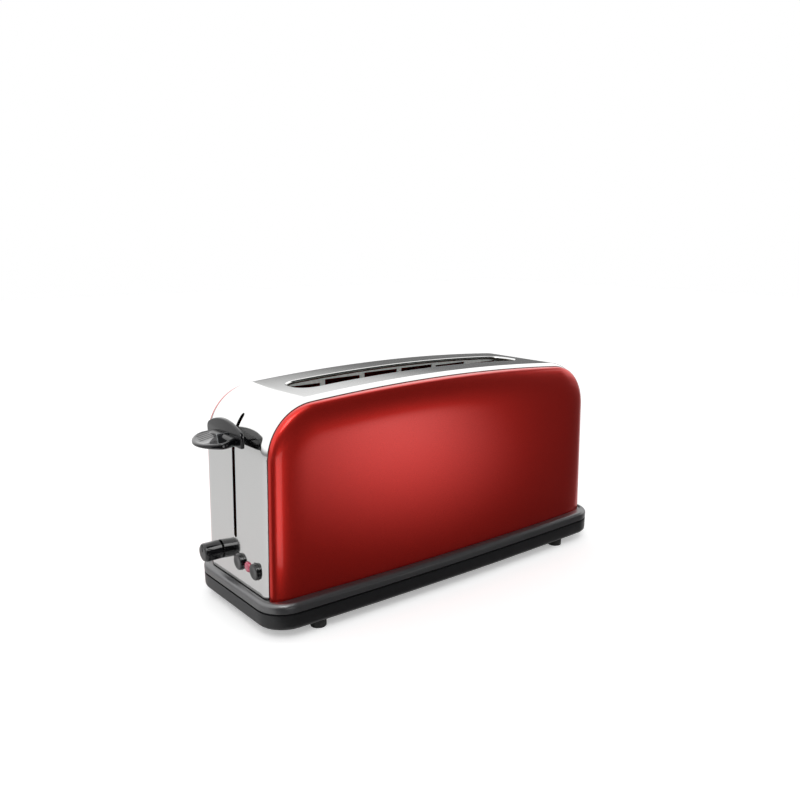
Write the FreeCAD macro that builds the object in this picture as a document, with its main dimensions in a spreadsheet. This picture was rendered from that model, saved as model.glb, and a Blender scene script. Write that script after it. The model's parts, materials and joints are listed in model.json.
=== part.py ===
import FreeCAD, Part
import Sketcher
import math
import os

# Pop-up toaster with one long slot. X runs along the toaster, -X is the end with the
# lever and the controls, -Y is the front, Z is up. Millimetres throughout.
# Every piece is drawn about the middle of the base and then moved by centre_x, so that
# the frame's origin is under the middle of the whole toaster, lever included.

doc = FreeCAD.newDocument("Toaster")
sheet = doc.addObject("Spreadsheet::Sheet", "Dims")

DIMENSIONS = {
    # base, in two tiers with a groove between them
    "base_long": 400, "base_wide": 143.4, "base_bow": 4.2, "base_corner": 26,
    "foot_high": 9.1, "foot_radius": 7, "foot_inset": 50, "foot_edge": 11.7,
    "groove_z": 23.7, "groove_high": 1.6, "groove_deep": 1.8,
    "base_top": 32.8, "base_wall": 2.5, "tier_round": 4, "seat_deep": 1.5, "seat_gap": 0.8,
    "throat_inset": 8, "throat_edge": 4,
    # body: a steel cover over the ends and the top, and a crowned panel on each side
    "body_inset": 6, "body_high": 200, "arch_drop": 9.6, "end_lean": 6.6,
    "shoulder": 48, "edge_round": 14, "edge_over": 6, "steel": 1,
    "side_inset": 11.2, "panel_deep": 8.5, "panel_bow": 5.9, "panel_round": 9, "panel_inset": 3,
    "panel_wall": 1.2, "panel_gap": 0.3,
    # bread slot and the lip round it
    "slot_inset": 18, "slot_half": 18.5, "slot_round": 16, "lip_high": 1.6, "lip_wall": 1,
    # lever, carriage and rack; drops are measured down from the top of the body
    "lever_drop": 40, "lever_down": 80, "lever_up": 12, "lever_gap": 5, "arm_room": 2,
    "paddle_reach": 22, "paddle_half": 25, "paddle_root": 20, "paddle_high": 8, "paddle_nose": 15,
    "shield_half": 30.5, "shield_side": 12, "shield_rise": 8, "shield_thick": 3, "shield_round": 6,
    "arm_thick": 2, "arm_high": 8, "arm_socket": 6, "carriage_room": 5.5, "carriage_thick": 1.5,
    "rod_radius": 2, "rod_room": 13, "rod_y": 10, "rod_drop": 22, "run_gap": 0.05,
    "bridge_thick": 2, "bridge_over": 7, "bridge_edge": 5, "stop_gap": 0.5, "stop_wall": 3,
    "slider_half": 6, "slider_low": 36, "slider_high": 40,
    "spring_y": 7, "spring_radius": 2.8, "spring_wire": 0.8, "spring_turns": 14,
    "spring_tab": 3, "tab_thick": 2,
    "rack_low": 38, "rack_high": 6, "rack_thick": 2, "rack_end": 4, "finger_half": 13,
    "finger_thick": 2, "finger_wide": 3,
    "keeper_low": 30, "keeper_thick": 2, "keeper_half": 5,
    "magnet_gap": 0.4, "magnet_y": 18, "magnet_half": 3, "magnet_room": 14,
    "coil_half": 6, "coil_short": 3, "coil_gap": 1,
    # toasting chamber
    "chassis_inset": 44, "chassis_half": 40, "chassis_drop": 16, "sheet_metal": 1,
    "reflector_y": 38, "mica_y": 30, "mica_low": 48, "mica_drop": 10, "mica_thick": 0.8,
    "winding_wide": 3, "winding_thick": 0.3, "winding_end": 6,
    "guide_bar": 5, "guide_rim": 1.2, "guide_gap": 0.6, "guide_pin": 1.5, "guide_z": 44, "guide_split": 105, "pin_long": 6,
    # controls on the lever's end
    "control_z": 52, "knob_y": 31, "knob_radius": 8.5, "knob_long": 16, "knob_gap": 0.6,
    "button_z": 52.8, "button_radius": 7.1, "button_proud": 3.2, "button_travel": 2,
    "button_round": 1.2, "flange_wide": 1.8, "flange_thick": 1.5,
    "first_button": -8, "second_button": -36,
    "lamp_y": -22, "lamp_z": 52.3, "lamp_radius": 4.6, "lens_proud": 1.8, "lens_round": 1.4,
    "bulb_radius": 2.5, "bulb_short": 0.5,
    "board_inset": 17, "board_thick": 1.6, "board_half": 46, "board_top": 68,
    "carrier_inset": 8.6, "carrier_thick": 2, "carrier_short": 2, "post_radius": 2.5, "post_inset": 4,
    "post_drop": 5, "shaft_radius": 3, "shaft_gap": 2, "stem_radius": 2.5,
    "dial_half": 8, "dial_gap": 1, "dial_floor": 1.5, "switch_half": 3, "switch_long": 3.6,
    "relay_x": 9, "relay_y": 22, "relay_wide": 16, "relay_z": 8, "relay_high": 16,
    "coil_x": 12, "coil_y": -44, "coil_wide": 14, "coil_z": 6, "coil_high": 18,
    "can_y": -3, "can_z": 9, "can_radius": 4, "can_long": 7,
    "block_room": 10, "block_long": 16, "block_half": 12, "block_high": 14,
    # crumb tray, drawn out of the end opposite the lever
    "tray_room": 10, "tray_half": 42, "tray_low": 11.9, "tray_high": 8, "tray_wall": 1,
    "tray_gap": 0.5, "rail_over": 2, "rail_short": 12,
    # fastenings and mains entry
    "screw_radius": 1.75, "screw_boss": 4, "screw_head": 3.2, "screw_head_high": 2, "screw_long": 16,
    "gland_inset": 50, "gland_z": 16.5, "gland_radius": 5, "gland_bore": 3.4,
    "slack": 0.3,
}
for row, (alias, value) in enumerate(DIMENSIONS.items(), start=1):
    sheet.set("A%d" % row, alias)
    sheet.set("B%d" % row, str(value))
    sheet.setAlias("B%d" % row, alias)

DERIVED = {
    "centre_x": "paddle_reach / 2",
    "base_half": "base_long / 2",
    "side_half": "base_wide / 2",
    "body_half": "base_half - body_inset",
    "panel_half": "side_half - side_inset",
    "seam_half": "panel_half - panel_deep",
    "foot_x": "base_half - foot_inset",
    "foot_y": "side_half - foot_edge",
    "gland_x": "base_half - gland_inset",
    "chassis_x": "body_half - chassis_inset",
    "chassis_top": "body_high - chassis_drop",
    "mica_top": "chassis_top - mica_drop",
    "slot_end": "chassis_x - slot_inset",
    "guide_pitch": "slot_end / 3",
    "finger_pitch": "(slot_end - finger_wide) / 6",
    "winding_pitch": "(slot_end - winding_end) / 6",
    "lever_z": "body_high - lever_drop",
    "rack_z": "lever_z - rack_low",
    "keeper_z": "lever_z - keeper_low",
    "carriage_x": "chassis_x + carriage_room",
    "rod_x": "chassis_x + rod_room",
    "rod_top": "body_high - rod_drop",
    "magnet_x": "chassis_x + magnet_room",
    "board_x": "body_half - board_inset",
    "carrier_x": "body_half - carrier_inset",
    "tray_x": "chassis_x - tray_room",
    "deck": "base_top - seat_deep",
    "floor_top": "foot_high + base_wall",
    "shoulder_top": "body_high - arch_drop",
    "plate_x": "carriage_x + carriage_thick",
    "screw_x": "foot_x + 16",
    "screw_y": "side_half - 18",
    "seat_half": "body_half + seat_gap",
    "seat_side": "panel_half + seat_gap",
    "seat_corner": "panel_round + 3",
    "arch_bend": "((body_half - end_lean) ^ 2 + arch_drop ^ 2) / (2 * arch_drop)",
    "arch_mid": "body_high - arch_bend",
    "lean": "end_lean / (shoulder_top - deck)",
    "end_x": "body_half - lean * (control_z - deck)",
    "button_x": "body_half - lean * (button_z - deck)",
    "lamp_x": "body_half - lean * (lamp_z - deck)",
    "flange_radius": "button_radius + flange_wide",
    "flange_x": "steel + slack + lean * (flange_radius + steel)",
    "arm_low": "lever_z - arm_high / 2",
    "slider_z": "lever_z - slider_low",
    "magnet_top": "keeper_z - lever_down - magnet_gap",
    "guide_reach": "chassis_x - sheet_metal / 2 - 1",
    "guide_drop": "steel + lip_high + guide_gap",
    "switch_x": "board_x + board_thick + switch_long",
    "stem_end": "button_x - switch_x - button_travel - slack",
}
# A bowed outline has two long arcs, two straight ends and four corner arcs that meet
# them smoothly: bend is the long arc's radius, mid its centre and rise the height of
# the corner's centre above mid.
OUTLINES = {"base": ("base_half", "side_half", "base_bow", "base_corner"),
            "seat": ("seat_half", "seat_side", "panel_bow", "seat_corner")}
for outline, (half_x, half_y, bow, corner) in OUTLINES.items():
    DERIVED[outline + "_bend"] = "(%s ^ 2 + %s ^ 2) / (2 * %s)" % (half_x, bow, bow)
    DERIVED[outline + "_mid"] = "%s_bend - %s - %s" % (outline, half_y, bow)
    DERIVED[outline + "_rise"] = ("sqrt((%s_bend - %s) ^ 2 - (%s - %s) ^ 2)"
                                  % (outline, corner, half_x, corner))
for row, (alias, formula) in enumerate(DERIVED.items(), start=len(DIMENSIONS) + 1):
    sheet.set("A%d" % row, alias)
    sheet.set("B%d" % row, "=" + formula)
    sheet.setAlias("B%d" % row, alias)
doc.recompute()

parts = []
left_edge = {}
NAMES = sorted(list(DIMENSIONS) + list(DERIVED), key=len, reverse=True)


def bound(formula):
    """Formula over the sheet's aliases, as an expression of the document."""
    out = []
    word = ""
    for letter in str(formula) + " ":
        if letter.isalnum() or letter == "_":
            word += letter
            continue
        out.append("Dims." + word if word in NAMES else word)
        out.append(letter)
        word = ""
    return "".join(out).strip()


def value(formula):
    """Number that a formula gives now."""
    result = sheet.evalExpression(bound(formula))
    return float(getattr(result, "Value", result))


def bind(thing, **sizes):
    for name, formula in sizes.items():
        thing.setExpression(name.replace("__", "."), bound(formula))


def place(thing, x="0", y="0", z="0"):
    bind(thing, Placement__Base__x=x, Placement__Base__y=y, Placement__Base__z=z)
    left_edge[thing.Name] = x


def part(label, thing):
    """Name a finished piece and move it into the toaster's frame."""
    thing.Label = label
    bind(thing, Placement__Base__x="centre_x + (%s)" % left_edge.get(thing.Name, "0"))
    parts.append(thing)
    return thing


def box(x0, x1, y0, y1, z0, z1):
    thing = doc.addObject("Part::Box", "Block")
    bind(thing, Length="(%s) - (%s)" % (x1, x0), Width="(%s) - (%s)" % (y1, y0))
    bind(thing, Height="(%s) - (%s)" % (z1, z0))
    place(thing, x0, y0, z0)
    return thing


TURNS = {"x": ((0, 1, 0), 90), "y": ((1, 0, 0), -90), "z": ((0, 0, 1), 0)}


def rod(axis, x, y, z, radius, length):
    thing = doc.addObject("Part::Cylinder", "Round")
    bind(thing, Radius=radius, Height=length)
    way, angle = TURNS[axis]
    thing.Placement.Rotation = FreeCAD.Rotation(FreeCAD.Vector(*way), angle)
    place(thing, x, y, z)
    return thing


def fuse(*pieces):
    thing = doc.addObject("Part::MultiFuse", "Joined")
    thing.Shapes = list(pieces)
    return thing


def cut(base, *tools):
    thing = doc.addObject("Part::Cut", "Trimmed")
    thing.Base = base
    thing.Tool = tools[0] if len(tools) == 1 else fuse(*tools)
    return thing


def group(*pieces):
    thing = doc.addObject("Part::Compound", "Group")
    thing.Links = list(pieces)
    return thing


def new_body(z="0"):
    body = doc.addObject("PartDesign::Body", "Body")
    place(body, "0", "0", z)
    return body


def new_sketch(body, plane, offset="0"):
    sketch = body.newObject("Sketcher::SketchObject", "Sketch")
    planes = [item for item in body.Origin.OriginFeatures if item.Role == plane]
    sketch.AttachmentSupport = [(planes[0], "")]
    sketch.MapMode = "FlatFace"
    bind(sketch, AttachmentOffset__Base__z=offset)
    return sketch


def pin_point(sketch, shape, end, x, y):
    """Hold one end of a drawn line at sheet values."""
    for kind, formula in (("DistanceX", x), ("DistanceY", y)):
        spot = sketch.addConstraint(Sketcher.Constraint(kind, -1, 1, shape, end, value(formula)))
        sketch.setExpression("Constraints[%d]" % spot, bound(formula))


def draw(sketch, points, arcs=None):
    """Closed outline through points; arcs gives the radius of each side that bulges outwards."""
    arcs = arcs or {}
    spots = [FreeCAD.Vector(value(x), value(y), 0) for x, y in points]
    made = []
    for i, here in enumerate(spots):
        there = spots[(i + 1) % len(spots)]
        if i not in arcs:
            made.append(sketch.addGeometry(Part.LineSegment(here, there), False))
            continue
        side = there - here
        radius = value(arcs[i])
        outward = FreeCAD.Vector(side.y, -side.x, 0).normalize()
        centre = (here + there) * 0.5 - outward * math.sqrt(radius ** 2 - side.Length ** 2 / 4)
        start = math.atan2(here.y - centre.y, here.x - centre.x)
        stop = math.atan2(there.y - centre.y, there.x - centre.x)
        if stop < start:
            stop += 2 * math.pi
        circle = Part.Circle(centre, FreeCAD.Vector(0, 0, 1), radius)
        shape = sketch.addGeometry(Part.ArcOfCircle(circle, start, stop), False)
        spot = sketch.addConstraint(Sketcher.Constraint("Radius", shape, radius))
        sketch.setExpression("Constraints[%d]" % spot, bound(arcs[i]))
        made.append(shape)
    for i, shape in enumerate(made):
        following = made[(i + 1) % len(made)]
        sketch.addConstraint(Sketcher.Constraint("Coincident", shape, 2, following, 1))
        pin_point(sketch, shape, 1, *points[i])


def draw_bowed(sketch, outline, inset):
    """One of OUTLINES, moved in by inset."""
    half_x, half_y, bow, corner = OUTLINES[outline]
    bend = "(%s_bend - (%s))" % (outline, inset)
    reach = "%s / (%s_bend - %s)" % (bend, outline, corner)
    x = "%s - (%s)" % (half_x, inset)
    y = "%s_rise - %s_mid" % (outline, outline)
    touch_x = "%s * (%s - %s)" % (reach, half_x, corner)
    touch_y = "%s * %s_rise - %s_mid" % (reach, outline, outline)
    points = []
    for far, up in (("-", "-"), ("", "-"), ("", ""), ("-", "")):
        pair = [(far + "(%s)" % touch_x, up + "(%s)" % touch_y), (far + "(%s)" % x, up + "(%s)" % y)]
        points += pair if (far == "") == (up == "-") else pair[::-1]
    points = points[1:] + points[:1]
    small = "%s - (%s)" % (corner, inset)
    draw(sketch, points, {0: bend, 1: small, 3: small, 4: bend, 5: small, 7: small})


def draw_box(sketch, x0, x1, y0, y1):
    draw(sketch, [(x0, y0), (x1, y0), (x1, y1), (x0, y1)])


def draw_circle(sketch, x, y, radius):
    circle = Part.Circle(FreeCAD.Vector(value(x), value(y), 0), FreeCAD.Vector(0, 0, 1), value(radius))
    shape = sketch.addGeometry(circle, False)
    spot = sketch.addConstraint(Sketcher.Constraint("Radius", shape, value(radius)))
    sketch.setExpression("Constraints[%d]" % spot, bound(radius))
    pin_point(sketch, shape, 3, x, y)


def pad(body, sketch, length, reversed=False, midplane=False):
    feature = body.newObject("PartDesign::Pad", "Pad")
    feature.Profile = sketch
    feature.Reversed = reversed
    feature.Midplane = midplane
    bind(feature, Length=length)
    doc.recompute()
    return feature


def pocket(body, sketch, length="0", reversed=False, midplane=False, through=False):
    before = body.Shape.Volume
    feature = body.newObject("PartDesign::Pocket", "Pocket")
    feature.Profile = sketch
    feature.Reversed = reversed
    feature.Midplane = midplane
    if through:
        feature.Type = "ThroughAll"
    else:
        bind(feature, Length=length)
    doc.recompute()
    if body.Shape.Volume > before - 1e-3:
        raise RuntimeError("a pocket of %s cut nothing" % body.Name)
    return feature


def round_edges(body, radius, wanted):
    """Fillet the edges of the body's shape that wanted picks."""
    tip = body.Tip
    names = ["Edge%d" % (i + 1) for i, edge in enumerate(tip.Shape.Edges) if wanted(edge)]
    if not names:
        raise RuntimeError("no edge to round on %s" % body.Name)
    feature = body.newObject("PartDesign::Fillet", "Fillet")
    feature.Base = (tip, names)
    bind(feature, Radius=radius)
    doc.recompute()
    return feature


def revolve(body, sketch, axis):
    feature = body.newObject("PartDesign::Revolution", "Revolution")
    feature.Profile = sketch
    feature.ReferenceAxis = (sketch, [axis])
    feature.Angle = 360
    doc.recompute()
    return feature


def upright(edge):
    """True for a straight edge along Z."""
    ends = [v.Point for v in edge.Vertexes]
    return len(ends) == 2 and abs(ends[0].x - ends[1].x) + abs(ends[0].y - ends[1].y) < 1e-6


def level(z):
    """Picks edges that lie at one height."""
    def picks(edge):
        return abs(edge.BoundBox.ZMin - z) < 1e-4 and abs(edge.BoundBox.ZMax - z) < 1e-4
    return picks


# ---- base -------------------------------------------------------------------------------

def screw_spots():
    return [(sx + "screw_x", sy + "screw_y") for sx in ("-", "") for sy in ("-", "")]


def tier(body, outline, inset, z, high):
    """Pad of a bowed outline."""
    sketch = new_sketch(body, "XY_Plane", z)
    draw_bowed(sketch, outline, inset)
    pad(body, sketch, high)


def base_lower():
    """Lower tier: floor, wall, groove neck, screw bosses and the window for the tray."""
    body = new_body()
    top = "groove_z + groove_high / 2"
    tier(body, "base", "0", "foot_high", "groove_z - groove_high / 2 - foot_high")
    round_edges(body, "tier_round", level(value("foot_high")))
    tier(body, "base", "groove_deep", "groove_z - groove_high / 2", "groove_high")
    hollow = new_sketch(body, "XY_Plane", top)
    draw_bowed(hollow, "base", "groove_deep + base_wall")
    pocket(body, hollow, top + " - floor_top")
    buried = "foot_high + base_wall / 2"
    bosses = new_sketch(body, "XY_Plane", buried)
    for x, y in screw_spots():
        draw_circle(bosses, x, y, "screw_boss")
    pad(body, bosses, "%s - (%s)" % (top, buried))
    rails = new_sketch(body, "XY_Plane", buried)
    for side, first, last in (("-", "base_wall", "0"), ("", "0", "base_wall")):
        edge = side + "(tray_half + slack)"
        draw_box(rails, "-(tray_x + rail_over)", "base_half - rail_short", edge + " - " + first, edge + " + " + last)
    pad(body, rails, "tray_low + tray_high - (%s)" % buried)
    window = new_sketch(body, "YZ_Plane", "base_half + 1")
    draw_box(window, "-(tray_half + slack)", "tray_half + slack", "floor_top", "tray_low + tray_high + slack")
    pocket(body, window, "base_wall + groove_deep + 2")
    holes = new_sketch(body, "XY_Plane", "foot_high")
    for x, y in screw_spots():
        draw_circle(holes, x, y, "screw_radius + run_gap")
    pocket(body, holes, reversed=True, through=True)
    gland = new_sketch(body, "XZ_Plane", "-(side_half - base_wall - 8)")
    draw_circle(gland, "gland_x", "gland_z", "gland_radius")
    pocket(body, gland, through=True)
    return part("base_lower", body)


def base_upper():
    """Upper tier: the deck that the body stands in, open under the toasting chamber."""
    body = new_body()
    low = "groove_z + groove_high / 2"
    tier(body, "base", "0", low, "base_top - groove_z - groove_high / 2")
    round_edges(body, "tier_round", level(value("base_top")))
    seat = new_sketch(body, "XY_Plane", "base_top")
    draw_bowed(seat, "seat", "0")
    pocket(body, seat, "seat_deep")
    throat = new_sketch(body, "XY_Plane", "base_top")
    draw_box(throat, "-(chassis_x - throat_inset)", "chassis_x - throat_inset",
             "-(chassis_half - throat_edge)", "chassis_half - throat_edge")
    pocket(body, throat, through=True)
    holes = new_sketch(body, "XY_Plane", low)
    for x, y in screw_spots():
        draw_circle(holes, x, y, "screw_radius + run_gap")
    pocket(body, holes, "4", reversed=True)
    return part("base_upper", body)


def feet():
    """Four rubber feet pressed on under the lower tier."""
    made = []
    for sx in ("-", ""):
        for sy in ("-", ""):
            made.append(rod("z", sx + "foot_x", sy + "foot_y", "0", "foot_radius", "foot_high"))
    return part("feet", group(*made))


def base_screws():
    """Four screws from under the lower tier up into the deck."""
    made = []
    for x, y in screw_spots():
        shank = rod("z", x, y, "foot_high", "screw_radius", "screw_long")
        head = rod("z", x, y, "foot_high - screw_head_high", "screw_head", "screw_head_high")
        made.append(fuse(shank, head))
    return part("base_screws", group(*made))


def cord_gland():
    """Grommet in the lower tier's rear side where the mains cord enters."""
    outside = "side_half + base_bow - 1"
    inside = "side_half - base_wall - 4"
    sleeve = rod("y", "gland_x", inside, "gland_z", "gland_radius - run_gap", "%s - (%s)" % (outside, inside))
    bore = rod("y", "gland_x", inside + " - 1", "gland_z", "gland_bore", "%s - (%s) + 2" % (outside, inside))
    return part("cord_gland", cut(sleeve, bore))


# ---- body shell -------------------------------------------------------------------------
# The cover and the panels follow one outline: leaning ends, an arched top and round
# shoulders. Their double-curved edges are made with Part's own functions.

def body_outline(inset, bottom):
    """Face of the body's side view, moved in by inset, from bottom up."""
    half, lean = value("body_half") - inset, value("end_lean")
    deck, top = value("deck"), value("body_high") - inset
    corner = value("shoulder_top") - inset
    slope = lean / (value("shoulder_top") - deck)
    low = half - slope * (bottom - deck)
    high = half - slope * (corner - deck)
    spots = [FreeCAD.Vector(x, 0, z) for x, z in ((-low, bottom), (-high, corner), (high, corner), (low, bottom))]
    crest = FreeCAD.Vector(0, 0, top)
    edges = [Part.LineSegment(spots[0], spots[1]), Part.Arc(spots[1], crest, spots[2]),
             Part.LineSegment(spots[2], spots[3]), Part.LineSegment(spots[3], spots[0])]
    return Part.Face(Part.Wire([edge.toShape() for edge in edges]))


def body_block(inset, near, far, bottom):
    """Solid of the outline from y = near to y = far, with round shoulders."""
    face = body_outline(inset, bottom)
    face.translate(FreeCAD.Vector(0, near, 0))
    block = face.extrude(FreeCAD.Vector(0, far - near, 0))
    radius = value("shoulder") - inset
    shoulders = [edge for edge in block.Edges
                 if edge.BoundBox.YLength > far - near - 1e-3 and edge.BoundBox.ZMin > bottom + 20]
    return block.makeFillet(radius, shoulders)


def rim_edges(block, y, bottom):
    """Edges of the outline at one y, apart from the bottom one."""
    return [edge for edge in block.Edges
            if abs(edge.BoundBox.YMin - y) < 1e-4 and abs(edge.BoundBox.YMax - y) < 1e-4
            and edge.BoundBox.ZMax > bottom + 1]


def wrap_block(inset, bottom):
    """The body's block with both long rims rounded over."""
    half = value("seam_half") + value("edge_over")
    block = body_block(inset, -half + inset, half - inset, bottom)
    rims = rim_edges(block, -half + inset, bottom) + rim_edges(block, half - inset, bottom)
    return block.makeFillet(value("edge_round") - inset, rims)


def feature(label, shape):
    thing = doc.addObject("Part::Feature", "Shell")
    thing.Shape = shape
    return part(label, thing)


def slot_prism(half_long, half_wide, radius, low, high):
    """Upright prism of the bread slot's outline."""
    slab = Part.makeBox(2 * half_long, 2 * half_wide, high - low, FreeCAD.Vector(-half_long, -half_wide, low))
    return slab.makeFillet(radius, [edge for edge in slab.Edges if upright(edge)])


def end_hole(y, z, radius):
    """Round cutter through the control end."""
    start = FreeCAD.Vector(-value("body_half") - 5, value(y), value(z))
    return Part.makeCylinder(radius, 20, start, FreeCAD.Vector(1, 0, 0))


def steel_cover():
    """Polished sheet over both ends and the top, with its slots and holes."""
    steel, deck, seam = value("steel"), value("deck"), value("seam_half")
    outer = wrap_block(0, deck)
    inner = wrap_block(steel, deck - 10)
    shell = outer.cut(inner)
    band = Part.makeBox(2 * value("base_long"), 2 * seam, 2 * value("body_high"),
                        FreeCAD.Vector(-value("base_long"), -seam, 0))
    shell = shell.common(band)
    gap = value("slack")
    mouth = slot_prism(value("slot_end"), value("slot_half"), value("slot_round"),
                       value("body_high") / 2, value("body_high") + 10)
    lever_half = value("lever_gap") / 2
    lever_top = value("lever_z") + value("lever_up") + value("arm_high") / 2 + value("arm_room")
    lever_low = value("lever_z") - value("lever_down") - value("arm_high") / 2 - 2 * value("arm_room")
    run = Part.makeBox(40, 2 * lever_half, lever_top - lever_low,
                       FreeCAD.Vector(-value("body_half") - 5, -lever_half, lever_low))
    run = run.makeFillet(lever_half - 0.1, [edge for edge in run.Edges if edge.BoundBox.XLength > 39])
    holes = [mouth, run, end_hole("knob_y", "control_z", value("shaft_radius") + 1),
             end_hole("lamp_y", "lamp_z", value("lamp_radius") + gap)]
    for y in ("first_button", "second_button"):
        holes.append(end_hole(y, "button_z", value("button_radius") + gap))
    for hole in holes:
        shell = shell.cut(hole)
    return feature("steel_cover", shell)


def side_panel(label, side):
    """Crowned painted panel: an open shell that meets the cover's edge."""
    near = value("seam_half") + value("panel_gap")
    ends, bow = value("panel_half"), value("panel_bow")
    half, deck = value("body_half"), value("deck")
    radius = min(value("panel_round"), ends - near - 0.2)

    def block(inset):
        outside = ends + bow + 1
        body = body_block(value("panel_inset") + inset, near - 5 * (inset > 0), outside, deck - 10 * (inset > 0))
        plan = [FreeCAD.Vector(-half, near - 10, 0), FreeCAD.Vector(-half, ends - inset, 0),
                FreeCAD.Vector(0, ends + bow - inset, 0), FreeCAD.Vector(half, ends - inset, 0),
                FreeCAD.Vector(half, near - 10, 0)]
        edges = [Part.LineSegment(plan[0], plan[1]), Part.Arc(plan[1], plan[2], plan[3]),
                 Part.LineSegment(plan[3], plan[4]), Part.LineSegment(plan[4], plan[0])]
        prism = Part.Face(Part.Wire([edge.toShape() for edge in edges])).extrude(
            FreeCAD.Vector(0, 0, 2 * value("body_high")))
        body = body.common(prism)
        front = [face for face in body.Faces if face.BoundBox.YMin > near + 3 and face.BoundBox.ZLength > 50][0]
        rim = [edge for edge in front.Edges if edge.BoundBox.ZMax > deck + 12]
        return body.makeFillet(radius - inset, rim)

    shell = block(0).cut(block(value("panel_wall")))
    if side < 0:
        shell = shell.mirror(FreeCAD.Vector(0, 0, 0), FreeCAD.Vector(0, 1, 0))
    return feature(label, shell)


def slot_lip():
    """Steel lip that turns down round the bread slot."""
    wall, gap = value("lip_wall"), value("steel")
    half, wide, radius = value("slot_end"), value("slot_half"), value("slot_round")
    outer = slot_prism(half + wall, wide + wall, radius + wall, 100, value("body_high") + 10)
    inner = slot_prism(half, wide, radius, 90, value("body_high") + 20)
    under = wrap_block(gap, value("deck"))
    lower = wrap_block(gap + value("lip_high"), value("deck"))
    return feature("slot_lip", outer.cut(inner).common(under).cut(lower))


# ---- toasting chamber -------------------------------------------------------------------

def arch_z(x, drop):
    """Height of the arched top at x, lowered by drop."""
    return "arch_mid + sqrt((arch_bend - (%s)) ^ 2 - (%s) ^ 2)" % (drop, x)


def chassis(label, side):
    """End plate of the chamber, slotted for the rack and drilled for the guides' pins."""
    body = new_body()
    offset = "-chassis_x" if side < 0 else "chassis_x"
    plate = new_sketch(body, "YZ_Plane", offset)
    draw_box(plate, "-chassis_half", "chassis_half", "deck", "chassis_top")
    pad(body, plate, "sheet_metal", reversed=side < 0)
    openings = new_sketch(body, "YZ_Plane", offset)
    half = "(rack_thick / 2 + 1.5)"
    draw_box(openings, "-" + half, half, "rack_z - rack_high - lever_down - 2", "rack_z + lever_up + 2")
    for flip in ("-", ""):
        draw_circle(openings, flip + "(slot_half + sheet_metal / 2)", "guide_z", "guide_pin + run_gap")
    pocket(body, openings, through=True, midplane=True)
    return part(label, body)


def reflector(label, side):
    """Bright sheet behind the heater."""
    near, far = "reflector_y", "reflector_y + sheet_metal"
    if side < 0:
        near, far = "-(%s)" % far, "-" + near
    return part(label, box("-chassis_x", "chassis_x", near, far, "deck", "chassis_top"))


def mica(label, side):
    """Mica board that carries a heating winding."""
    middle = "-mica_y" if side < 0 else "mica_y"
    return part(label, box("-chassis_x", "chassis_x", middle + " - mica_thick / 2",
                           middle + " + mica_thick / 2", "mica_low", "mica_top"))


WINDING_TURNS = range(-6, 7)


def winding(label, side):
    """Heating ribbon: turns laid round the mica board's long edges."""
    middle = "-mica_y" if side < 0 else "mica_y"
    reach = "(mica_thick / 2 + winding_thick)"
    turns = []
    for turn in WINDING_TURNS:
        x = "%d * winding_pitch" % turn
        turns.append(box(x + " - winding_wide / 2", x + " + winding_wide / 2", middle + " - " + reach,
                         middle + " + " + reach, "mica_low - winding_thick", "mica_top + winding_thick"))
    board = box("-chassis_x", "chassis_x", middle + " - mica_thick / 2", middle + " + mica_thick / 2",
                "mica_low", "mica_top")
    return part(label, cut(group(*turns), board))


GUIDE_BARS = range(-3, 4)


def bread_guide(label, side):
    """Windowed plate that leans in against the bread, with a hinge pin at each end."""
    body = new_body()
    offset = "slot_half" if side < 0 else "-slot_half"
    plate = new_sketch(body, "XZ_Plane", offset)
    corner = arch_z("guide_reach", "guide_drop")
    draw(plate, [("-guide_reach", "guide_z - guide_pin"), ("guide_reach", "guide_z - guide_pin"),
                 ("guide_reach", corner), ("-guide_reach", corner)], {2: "arch_bend - guide_drop"})
    pad(body, plate, "sheet_metal", reversed=side > 0)
    windows = new_sketch(body, "XZ_Plane", offset)
    for bar in GUIDE_BARS[:-1]:
        left = "%d * guide_pitch + guide_bar / 2" % bar
        right = "%d * guide_pitch - guide_bar / 2" % (bar + 1)
        outer = left if bar < 0 else right
        draw_box(windows, left, right, "guide_z + 2 * guide_bar", "guide_split - guide_bar / 2")
        draw_box(windows, left, right, "guide_split + guide_bar / 2", arch_z(outer, "guide_drop + guide_rim"))
    pocket(body, windows, through=True, midplane=True)
    middle = "slot_half + sheet_metal / 2"
    y = "-(%s)" % middle if side < 0 else middle
    pins = [rod("x", x, y, "guide_z", "guide_pin", "pin_long")
            for x in ("-(chassis_x + pin_long / 2)", "chassis_x - pin_long / 2")]
    return part(label, fuse(body, *pins))


# ---- carriage, rack and lever -----------------------------------------------------------

RACK_FINGERS = range(-5, 7)


def bread_rack():
    """Strip with cross fingers that lifts the bread; both ends run in the chassis slots."""
    body = new_body()
    strip = new_sketch(body, "XZ_Plane")
    draw_box(strip, "-carriage_x", "chassis_x + rack_end", "rack_z - rack_high", "rack_z")
    pad(body, strip, "rack_thick", midplane=True)
    fingers = new_sketch(body, "XY_Plane", "rack_z - finger_thick")
    for finger in RACK_FINGERS:
        x = "(%d - 0.5) * finger_pitch" % finger
        draw_box(fingers, x + " - finger_wide / 2", x + " + finger_wide / 2", "-finger_half", "finger_half")
    pad(body, fingers, "finger_thick")
    return part("bread_rack", body)


def carriage_plate():
    """Pressed plate that joins lever, slider and rack, with a tab for the spring."""
    plate = box("-plate_x", "-carriage_x", "-(magnet_y + coil_half)", "rod_y + slider_half",
                "rack_z - rack_high", "slider_z + slider_high")
    tab = box("-(rod_x + spring_tab)", "-plate_x", "-(spring_y + spring_tab)", "-(spring_y - spring_tab)",
              "slider_z - tab_thick", "slider_z")
    return part("carriage_plate", fuse(plate, tab))


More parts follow.
